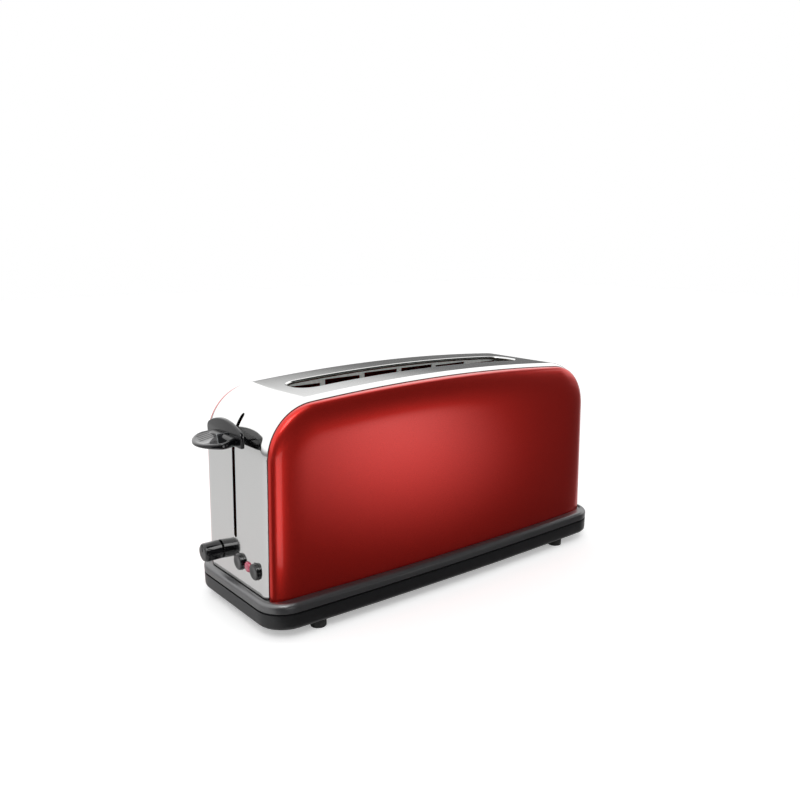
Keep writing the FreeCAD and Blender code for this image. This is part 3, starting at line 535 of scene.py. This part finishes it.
def makeCover():
    bm = bmesh.new()
    stations = [(0.0, 0.0)]
    for i in range(coverShape["rimSteps"] + 1):
        past = i / coverShape["rimSteps"] * (seamY - coverShape["rimFlat"])
        inset = coverShape["rimRadius"] - math.sqrt(coverShape["rimRadius"] ** 2 - past ** 2)
        stations.append((coverShape["rimFlat"] + past, inset))
    stations = [(-y, inset) for y, inset in reversed(stations[1:])] + stations[1:]
    loops = [addLoop(bm, [Vector((middleX + p.x, y, p.y)) for p in bodyOutline(inset)], False)
             for y, inset in stations]
    bridgeAll(bm, loops)
    bmesh.ops.recalc_face_normals(bm, faces=bm.faces)
    if sum(face.normal.z * face.calc_area() for face in bm.faces) < 0:
        bmesh.ops.reverse_faces(bm, faces=bm.faces)
    bmesh.ops.solidify(bm, geom=bm.faces[:] + bm.edges[:] + bm.verts[:], thickness=coverShape["steel"])
    cover = finishPiece("steelCover", bm, stainless, "steel_cover", "housing")
    reach = coverShape["mouthReach"]
    mouth = stackLoops(slotMouth, [(-slotShape["roll"], topZ - reach), (-slotShape["roll"], topZ + reach)],
                       lambda u, v, h: Vector((middleX + u, v, h)))
    cutters = [cutterFrom(mouth)]
    half = coverShape["leverHalf"]
    track = roundCorner(0, coverShape["leverHigh"] - half, half, 0, math.pi, 12)
    track += roundCorner(0, coverShape["leverLow"] + half, half, math.pi, math.tau, 12)
    before, after = coverLow.x - coverShape["punchBefore"], coverLow.x + coverShape["punchPast"]
    shapes = [track]
    for node, radius in coverShape["holes"]:
        low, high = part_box(node)
        spot = (low + high) / 2
        shapes.append(roundCorner(spot.y, spot.z, radius, 0, math.tau, 48)[:-1])
    for shape in shapes:
        punch = stackLoops(shape, [(0, before), (0, after)], lambda u, v, h: Vector((h, u, v)))
        cutters.append(cutterFrom(punch))
    cutWith(cover, cutters)
    breakEdges(cover, coverShape["bevel"])


makeCover()

print("stage: slot lip")


def makeSlotLip():
    # the cover rolls over into the mouth and down into a short wall
    roll, steps = slotShape["roll"], slotShape["rollSteps"]
    section = [(-(roll - slotShape["seam"]), 0.0)]
    for i in range(1, steps + 1):
        turn = math.pi / 2 * i / steps
        section.append((-roll * (1 - math.sin(turn)), roll * (1 - math.cos(turn))))
    wall, edge = slotShape["wall"], slotShape["edge"]
    bottom = roll + slotShape["skirt"]
    section += [(0.0, bottom - edge), (-edge, bottom), (0.2 * mm - wall, bottom), (-wall, bottom - edge)]
    section += [(-wall, roll + edge), (0.1 * mm - roll, slotShape["tuck"])]
    bm = bmesh.new()
    loops = []
    for inset, drop in section:
        loops.append(addLoop(bm, [Vector((middleX + u, v, archHeight(middleX + u) - drop))
                                  for u, v in insetOutline(slotMouth, inset)], True))
    bridgeAll(bm, loops + [loops[0]])
    finishPiece("slotLip", bm, stainless, "slot_lip", "housing", smooth=50)


makeSlotLip()

print("stage: side panels")
panelShape = {
    "edge": 3 * mm,
    "gap": 0.3 * mm,
    "ends": 60.5 * mm,
    "rollWide": 34 * mm,
    "rollDeep": 8 * mm,
    "power": 2.6,
    "rings": 18,
    "grid": 12 * mm,
    "gridStop": 20 * mm,
    "wall": 1.2 * mm,
}
parkY = 2 * seamY  # where the skin waits until its depth is set
panelBow = panelHigh.y - panelLow.y - (panelShape["ends"] - seamY - panelShape["gap"])


def panelDepth(x, inside):
    # outward y of the panel's skin: the bow along its length, falling away in a round edge
    bend = (halfLong ** 2 + panelBow ** 2) / (2 * panelBow)
    out = panelShape["ends"] + panelBow - bend + math.sqrt(bend ** 2 - x ** 2)
    across = min(1.0, max(0.0, 1 - inside / panelShape["rollWide"]))
    fall = 1 - (1 - across ** panelShape["power"]) ** (1 / panelShape["power"])
    return out - panelShape["rollDeep"] * fall


def splitFaces(bm, region, point, normal):
    # cuts the faces along a plane and gives back the faces that they became
    geom = region + list({e for f in region for e in f.edges}) + list({v for f in region for v in f.verts})
    cut = bmesh.ops.bisect_plane(bm, geom=geom, plane_co=point, plane_no=normal, dist=1e-6)
    return [g for g in cut["geom"] if isinstance(g, bmesh.types.BMFace)]


def makePanel(name, node, side):
    bm = bmesh.new()
    edge = panelShape["edge"]
    insets = [edge + panelShape["rollWide"] * (1 - math.cos(math.pi / 2 * i / panelShape["rings"]))
              for i in range(panelShape["rings"] + 1)]
    loops = [addLoop(bm, [Vector((p.x, seamY + panelShape["gap"], p.y)) for p in bodyOutline(edge)], False)]
    for inset in insets:
        loops.append(addLoop(bm, [Vector((p.x, parkY, p.y)) for p in bodyOutline(inset)], False))
    bridgeAll(bm, loops)
    inner = loops[-1]
    corners = {corner for stretch in inner for corner in stretch.verts}
    ends = [corner for corner in corners if len([e for e in corner.link_edges if e in inner]) == 1]
    bottom = bm.edges.new(ends)
    region = list(bmesh.ops.contextual_create(bm, geom=inner + [bottom])["faces"])
    grid = panelShape["grid"]
    z = deckZ + grid
    while z < topZ - panelShape["gridStop"]:
        region = splitFaces(bm, region, (0, 0, z), (0, 0, 1))
        z += grid
    x = 2 * grid - halfLong
    while x < halfLong - grid:
        region = splitFaces(bm, region, (x, 0, 0), (1, 0, 0))
        x += grid
    for vert in bm.verts:
        if vert.co.y > (seamY + parkY) / 2:
            inside = edgeDistance(vert.co.x, vert.co.z) - edge
            vert.co.y = panelDepth(vert.co.x, inside)
    for vert in bm.verts:
        vert.co.x += middleX
        vert.co.y *= side
    bmesh.ops.recalc_face_normals(bm, faces=bm.faces)
    if sum(face.normal.y * face.calc_area() for face in bm.faces) * side < 0:
        bmesh.ops.reverse_faces(bm, faces=bm.faces)
    bmesh.ops.solidify(bm, geom=bm.faces[:] + bm.edges[:] + bm.verts[:], thickness=panelShape["wall"])
    finishPiece(name, bm, redLacquer, node, "housing", smooth=50)


makePanel("frontPanel", "front_panel", -1)
makePanel("rearPanel", "rear_panel", 1)

print("stage: lever")
leverShape = {
    "rootHalf": 20 * mm,
    "wideHalf": 25 * mm,
    "nose": 15 * mm,
    "high": 8 * mm,
    "cornerRound": 8 * mm,
    "bottomRound": 3.8 * mm,
    "topRound": 1.5 * mm,
    "rim": 2.2 * mm,
    "dish": 0.5 * mm,
    "tipShare": 0.4,
    "rootGap": 1.5 * mm,
    "grooves": 4,
    "grooveWide": 1.5 * mm,
    "grooveDeep": 1.2 * mm,
    "groovePitch": 4.4 * mm,
    "grooveFrom": 2 * mm,
    "grooveStart": 4.5 * mm,
    "grooveEnd": 8 * mm,
    "shieldHalf": 30.5 * mm,
    "shieldSide": 12 * mm,
    "shieldRise": 8 * mm,
    "shieldCorner": 6 * mm,
    "shieldFoot": 2 * mm,
    "shieldThick": 3 * mm,
    "shieldRound": 1.1 * mm,
}


def paddleOutline():
    # counter-clockwise from above: straight flanks, a bowed nose, rounded where they meet
    rootX = coverLow.x - leverShape["rootGap"]
    tipX = leverLow.x
    wideX = tipX + leverShape["nose"]
    half, nose = leverShape["wideHalf"], leverShape["nose"]
    bend = (half ** 2 + nose ** 2) / (2 * nose)
    centre = tipX + bend
    flank = Vector((wideX - rootX, half - leverShape["rootHalf"])).normalized()
    radius = leverShape["cornerRound"]
    # corner arc: one radius inside the flank and inside the nose arc
    across = Vector((flank.y, -flank.x))
    across = across if across.y < 0 else -across
    base = Vector((rootX, leverShape["rootHalf"])) + across * radius
    toCentre = base - Vector((centre, 0))
    along = toCentre.dot(flank)
    reach = -along + math.sqrt(along ** 2 - toCentre.length_squared + (bend - radius) ** 2)
    corner = base + flank * reach
    startTurn = math.atan2(-across.y, -across.x)
    noseTurn = math.atan2(corner.y, corner.x - centre)
    upper = [(rootX, leverShape["rootHalf"])]
    upper += roundCorner(corner.x, corner.y, radius, startTurn, noseTurn, 10)
    upper += roundCorner(centre, 0, bend, noseTurn, math.pi, 12)[1:]
    lower = [(u, -v) for u, v in reversed(upper[:-1])]
    return upper + lower


def makeLever():
    outline = paddleOutline()
    low, high = leverLow.z, leverLow.z + leverShape["high"]
    under, over = leverShape["bottomRound"], leverShape["topRound"]
    steps = []
    for i in range(7):
        turn = math.pi / 2 * i / 6
        steps.append((under * (1 - math.sin(turn)), low + under * (1 - math.cos(turn))))
    for i in range(6):
        turn = math.pi / 2 * i / 5
        steps.append((over * (1 - math.cos(turn)), high - over * (1 - math.sin(turn))))
    rim, dish = leverShape["rim"], leverShape["dish"]
    steps += [(rim, high - 0.02 * mm), (rim + 0.35 * mm, high - dish * 0.4), (rim + 0.7 * mm, high - dish)]
    tipX, tipShare = leverLow.x, leverShape["tipShare"]

    def sloped(u, v, h):
        # the top falls away from the shield to the tip
        share = (u - tipX) / (coverLow.x - leverShape["rootGap"] - tipX)
        return Vector((u, v, low + (h - low) * (tipShare + (1 - tipShare) * share)))

    bm = stackLoops(outline, steps, sloped)
    paddle = finishPiece("leverPaddle", bm, glossBlack, "lever_knob", "carriage", smooth=45)
    cutters = []
    for i in range(leverShape["grooves"]):
        across = leverShape["grooveFrom"] + i * leverShape["groovePitch"]
        half = leverShape["grooveWide"] / 2
        inner = leverLow.x + leverShape["grooveStart"] + across * 0.25
        outer = coverLow.x - leverShape["grooveEnd"]
        bar = [(inner, across - half), (outer, across - half), (outer, across + half), (inner, across + half)]
        bottom = high - dish - leverShape["grooveDeep"]
        cutters.append(cutterFrom(stackLoops(bar, [(0.3 * mm, bottom), (-0.1 * mm, high + 1 * mm)], sloped)))
    cutWith(paddle, cutters)
    half, rise, corner = leverShape["shieldHalf"], leverShape["shieldRise"], leverShape["shieldCorner"]
    side = low + leverShape["shieldSide"]
    bend = (half ** 2 + rise ** 2) / (2 * rise)
    centre = side + rise - bend
    lift = math.sqrt((bend - corner) ** 2 - (half - corner) ** 2)
    turn = math.atan2(lift, half - corner)
    disc = roundCorner(half - corner, centre + lift, corner, 0, turn, 10)
    disc += roundCorner(0, centre, bend, turn, math.pi - turn, 40)[1:-1]
    disc += roundCorner(corner - half, centre + lift, corner, math.pi - turn, math.pi, 10)
    foot = leverShape["shieldFoot"]
    disc += roundCorner(foot - half, low + foot, foot, math.pi, math.pi * 1.5, 4)
    disc += roundCorner(half - foot, low + foot, foot, math.pi * 1.5, math.tau, 4)
    front = coverLow.x - leverShape["shieldThick"]
    soft = leverShape["shieldRound"]
    steps = [(soft * (1 - math.sin(math.pi / 2 * i / 4)), front + soft * (1 - math.cos(math.pi / 2 * i / 4)))
             for i in range(5)] + [(0, coverLow.x - 0.3 * mm), (0.3 * mm, coverLow.x)]
    bm = stackLoops(disc, steps, lambda u, v, h: Vector((h, u, v)))
    finishPiece("leverShield", bm, glossBlack, "lever_knob", "carriage", smooth=45)


makeLever()

print("stage: knob, buttons and lens")
controlShape = {
    "knobEdge": 2.6 * mm,
    "buttonEdge": 1.3 * mm,
    "buttonDish": 0.5 * mm,
    "lensEdge": 1.5 * mm,
    "pointerHalf": 0.7 * mm,
    "pointerDeep": 0.7 * mm,
    "knobBevel": 0.12 * mm,
    "buttonLong": 5.8 * mm,
    "buttonRadius": 7.1 * mm,
    "flangeOut": 1.6 * mm,
    "flangeThick": 0.5 * mm,
    "segments": 64,
}
outwards = Vector((-1, 0, 0))


def roundedEnd(length, radius, edge, dish=0.0, steps=6):
    # profile of a cap from its back on the axis to its front on the axis
    profile = [(0, 0), (0, radius - 0.3 * mm), (0.3 * mm, radius)]
    for i in range(steps + 1):
        turn = math.pi / 2 * i / steps
        profile.append((length - edge + edge * math.sin(turn), radius - edge + edge * math.cos(turn)))
    profile += [(length - dish * 0.6, radius * 0.45), (length - dish, radius * 0.15), (length - dish, 0)]
    return profile


def makeKnob():
    radius = (knobHigh.y - knobLow.y) / 2
    back = Vector((knobHigh.x, knobMid.y, knobMid.z))
    profile = roundedEnd(knobHigh.x - knobLow.x, radius, controlShape["knobEdge"])
    bm = spinProfile(profile, back, outwards, controlShape["segments"])
    knob = finishPiece("browningKnob", bm, glossBlack, "browning_knob", "knob")
    half, inner, outer = controlShape["pointerHalf"], radius * 0.1, radius * 1.1
    pointer = [(-half, inner), (half, inner), (half, outer), (-half, outer)]
    deep = controlShape["pointerDeep"]
    cutter = stackLoops(pointer, [(0, knobLow.x - deep), (0, knobLow.x + deep)],
                        lambda u, v, h: Vector((h, knobMid.y + u, knobMid.z + v)))
    cutWith(knob, [cutterFrom(cutter)])
    breakEdges(knob, controlShape["knobBevel"])


def makeButton(name, node, body):
    # a cap with a flange that the cover holds in
    low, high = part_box(node)
    length, radius = controlShape["buttonLong"], controlShape["buttonRadius"]
    back = Vector((low.x + length, (low.y + high.y) / 2, (low.z + high.z) / 2))
    profile = roundedEnd(length, radius, controlShape["buttonEdge"], controlShape["buttonDish"])
    rim, thick = radius + controlShape["flangeOut"], controlShape["flangeThick"]
    flange = [(0, 0), (0, rim), (thick, rim), (thick, radius)]
    bm = spinProfile(flange + profile[3:], back, outwards, controlShape["segments"])
    finishPiece(name, bm, glossBlack, node, body)


def makeLens():
    back = Vector((lensHigh.x, lensMid.y, lensMid.z))
    profile = roundedEnd(lensHigh.x - lensLow.x, (lensHigh.y - lensLow.y) / 2, controlShape["lensEdge"])
    bm = spinProfile(profile, back, outwards, controlShape["segments"])
    finishPiece("lampLens", bm, ruby, "lamp_lens", "housing")


makeKnob()
makeButton("cancelButton", "button_cancel", "cancel")
makeButton("defrostButton", "button_defrost", "defrost")
makeLens()

print("stage: kept nodes")
# each remaining piece: its material, and its edge break in millimetres
keptFinishes = {
    "base_lower": (deepBlack, 0.35), "base_upper": (satinBlack, 0.35), "feet": (rubber, 0.6),
    "base_screws": (zinc, 0.2), "cord_gland": (rubber, 0.5),
    "reflector_front": (aluminised, 0.1), "reflector_rear": (aluminised, 0.1),
    "mica_front": (mica, 0.05), "mica_rear": (mica, 0.05),
    "winding_front": (nichrome, 0.05), "winding_rear": (nichrome, 0.05),
    "guide_front": (dulledZinc, 0.2), "guide_rear": (dulledZinc, 0.2),
    "chassis_lever_end": (aluminised, 0.1), "chassis_far_end": (aluminised, 0.1),
    "bread_rack": (drawn, 0.2), "carriage_plate": (zinc, 0.15), "slider_block": (nylon, 0.4),
    "lever_arm": (zinc, 0.15), "carriage_spring": (drawn, 0), "guide_rod": (drawn, 0.2),
    "rod_bridge": (zinc, 0.15), "stop_pad": (rubber, 0.3), "magnet_core": (zinc, 0.1),
    "magnet_coil": (copper, 0.4), "keeper_plate": (zinc, 0.15), "knob_shaft": (nylon, 0.2),
    "lamp_bulb": (ruby, 0.3), "control_board": (laminate, 0.1), "control_carrier": (nylon, 0.2),
    "browning_dial": (satinBlack, 0.3), "button_switches": (satinBlack, 0.2),
    "board_components": (satinBlack, 0.3), "terminal_block": (nylon, 0.5), "crumb_tray": (aluminised, 0.2),
}
bodyOf = {node: body for body, nodes in frame["record"]["behaviour"]["bodies"].items() for node in nodes}


def finishedCopy(node, material, width):
    # the piece as it is built, in its finish, with its edges broken by so many millimetres
    bm = bmesh.new()
    bm.from_mesh(frame["nodes"][node].data)
    bmesh.ops.remove_doubles(bm, verts=bm.verts, dist=0.002 * mm)
    bmesh.ops.dissolve_limit(bm, angle_limit=math.radians(0.6), verts=bm.verts, edges=bm.edges)
    words = node.split("_")
    piece = meshObject(words[0] + "".join(word.capitalize() for word in words[1:]), bm, material)
    if width:
        breakEdges(piece, width * mm)
    else:
        smoothMesh(piece.data)
    joinFrame(piece, node, bodyOf[node])


for keptNode, (keptMaterial, keptWidth) in keptFinishes.items():
    finishedCopy(keptNode, keptMaterial, keptWidth)

print("stage: studio")
studio = {
    "floorHalf": 4.0,
    "floorColour": "#EDEDED",
    "floorGlow": 0.35,
    "poolDark": 0.04,
    "worldSeen": 1.0,
    "worldLight": 0.75,
    "worldMirrored": 1.6,
    "horizonHigh": 0.16,
    "horizonGrey": 0.35,
}


def makeFloor():
    bm = bmesh.new()
    bmesh.ops.create_grid(bm, x_segments=1, y_segments=1, size=studio["floorHalf"])
    material, tree, shader, where = startMaterial("white paper sweep")
    setShader(shader, colour=linear(studio["floorColour"]), rough=0.9)
    rays = addNode(tree, "ShaderNodeLightPath")
    glow = addNode(tree, "ShaderNodeMath", {"operation": "MULTIPLY"})
    glow.inputs[1].default_value = studio["floorGlow"]
    tree.links.new(rays.outputs["Is Camera Ray"], glow.inputs[0])
    shader.inputs["Emission Color"].default_value = (1, 1, 1, 1)
    tree.links.new(glow.outputs["Value"], shader.inputs["Emission Strength"])
    meshObject("studioFloor", bm, material)


def makeCard(name, corners, glow, fade=None):
    # a card seen only in reflections: dark, or glowing; fade brightens it towards white past a height
    bm = bmesh.new()
    bm.faces.new([bm.verts.new(p) for p in corners])
    material, tree, shader, where = startMaterial("studio card " + name)
    setShader(shader, colour=(0, 0, 0, 1), rough=1.0, emitColour=(1, 1, 1, 1), emit=glow)
    shader.inputs["Specular IOR Level"].default_value = 0
    if fade:
        axis, start, stop, dark, bright = fade
        parts = addNode(tree, "ShaderNodeSeparateXYZ", {}, {"Vector": where})
        ramp = addNode(tree, "ShaderNodeMapRange",
                       {"interpolation_type": "SMOOTHSTEP", "From Min": start, "From Max": stop,
                        "To Min": dark, "To Max": bright}, {"Value": parts.outputs[axis]})
        tree.links.new(ramp.outputs["Result"], shader.inputs["Emission Strength"])
    card = meshObject(name, bm, material)
    card.visible_camera = False
    card.visible_shadow = False
    card.visible_diffuse = False
    return card


def makeGlow(name, corners, centre, radii, turn, strength):
    # a soft oval pool of light on a card just above the floor, seen only in reflections
    card = makeCard(name, corners, 0)
    tree = card.data.materials[0].node_tree
    shader = tree.nodes["Principled BSDF"]
    where = addNode(tree, "ShaderNodeTexCoord").outputs["Object"]
    shifted = addNode(tree, "ShaderNodeMapping",
                      {"vector_type": "TEXTURE", "Location": (centre[0], centre[1], 0),
                       "Rotation": (0, 0, turn), "Scale": (radii[0], radii[1], 1)}, {"Vector": where})
    reach = addNode(tree, "ShaderNodeVectorMath", {"operation": "LENGTH"})
    tree.links.new(shifted.outputs["Vector"], reach.inputs[0])
    ramp = addNode(tree, "ShaderNodeMapRange",
                   {"interpolation_type": "SMOOTHSTEP", "From Min": 1.0, "From Max": 0.0,
                    "To Min": studio["poolDark"], "To Max": strength}, {"Value": reach.outputs["Value"]})
    tree.links.new(ramp.outputs["Result"], shader.inputs["Emission Strength"])


def upright(left, right, y, high):
    return [(left, y, 0), (right, y, 0), (right, y, high), (left, y, high)]


def level(left, right, near, far, z):
    return [(left, near, z), (right, near, z), (right, far, z), (left, far, z)]


makeFloor()
makeCard("behind", upright(0.62, 4.5, 1.6, 0.75), 0.2, ("Z", 0.52, 0.72, 0.2, 1.0))
makeCard("front", upright(-3.0, 3.5, -1.7, 2.2), 0.05)
makeGlow("pool", level(-1.24, 2.96, -2.28, -0.085, 0.002), (0.36, -0.68), (0.30, 0.66),
         math.radians(38.9), 3.2)
makeCard("left", level(-1.5, -0.235, -0.7, -0.14, 0.003), 0.04)
stripCorners = ((-0.175, -0.20), (-0.235, -0.20), (-0.70, -1.25), (-0.22, -1.25))
makeCard("strip", [(x, y, 0.005) for x, y in stripCorners], 2.6)
makeCard("hood", level(0.3, 3.5, -1.7, 0.1, 2.2), 0.05)

world = bpy.data.worlds.new("whiteStudio")
bpy.context.scene.world = world
world.use_nodes = True
sky = world.node_tree
background = sky.nodes["Background"]
rays = addNode(sky, "ShaderNodeLightPath")
mirrored = addNode(sky, "ShaderNodeMath", {"operation": "MAXIMUM"})
sky.links.new(rays.outputs["Is Glossy Ray"], mirrored.inputs[0])
sky.links.new(rays.outputs["Is Transmission Ray"], mirrored.inputs[1])
direct = addNode(sky, "ShaderNodeMapRange", {"To Min": studio["worldLight"], "To Max": studio["worldSeen"]},
                 {"Value": rays.outputs["Is Camera Ray"]})
bearing = addNode(sky, "ShaderNodeTexCoord")
upwards = addNode(sky, "ShaderNodeSeparateXYZ", {}, {"Vector": bearing.outputs["Generated"]})
horizon = addNode(sky, "ShaderNodeMapRange",
                  {"interpolation_type": "SMOOTHSTEP", "From Max": studio["horizonHigh"],
                   "To Min": studio["horizonGrey"], "To Max": studio["worldMirrored"]},
                  {"Value": upwards.outputs["Z"]})
strength = addNode(sky, "ShaderNodeMapRange", {},
                   {"Value": mirrored.outputs["Value"], "To Min": direct.outputs["Result"],
                    "To Max": horizon.outputs["Result"]})
background.inputs["Color"].default_value = (1, 1, 1, 1)
sky.links.new(strength.outputs["Result"], background.inputs["Strength"])


def addSoftbox(name, position, target, size, power):
    light = bpy.data.lights.new(name, "AREA")
    light.shape = "RECTANGLE"
    light.size, light.size_y = size
    light.energy = power
    holder = bpy.data.objects.new(name, light)
    holder.location = position
    holder.rotation_euler = (Vector(target) - Vector(position)).to_track_quat("-Z", "Y").to_euler()
    bpy.context.scene.collection.objects.link(holder)


addSoftbox("keyBox", (-0.9, -1.1, 1.5), (0, 0, 0.1), (0.9, 0.9), 14)

print("stage: camera")
cameraShape = {
    "target": (middleX, 0.0, 0.090),
    "azimuth": -38.884,
    "elevation": 16.684,
    "distance": 0.7926,
    "lens": 36.015,
    "shift": (-0.0140, 0.0955),
}
around, above = math.radians(cameraShape["azimuth"]), math.radians(cameraShape["elevation"])
away = Vector((math.sin(around) * math.cos(above), -math.cos(around) * math.cos(above), math.sin(above)))
lensData = bpy.data.cameras.new("studioCamera")
lensData.lens = cameraShape["lens"]
lensData.sensor_width = 36
lensData.shift_x, lensData.shift_y = cameraShape["shift"]
camera = bpy.data.objects.new("studioCamera", lensData)
camera.location = Vector(cameraShape["target"]) + away * cameraShape["distance"]
camera.rotation_euler = (-away).to_track_quat("-Z", "Y").to_euler()
bpy.context.scene.collection.objects.link(camera)
bpy.context.scene.camera = camera
bpy.context.scene.view_settings.view_transform = "Standard"
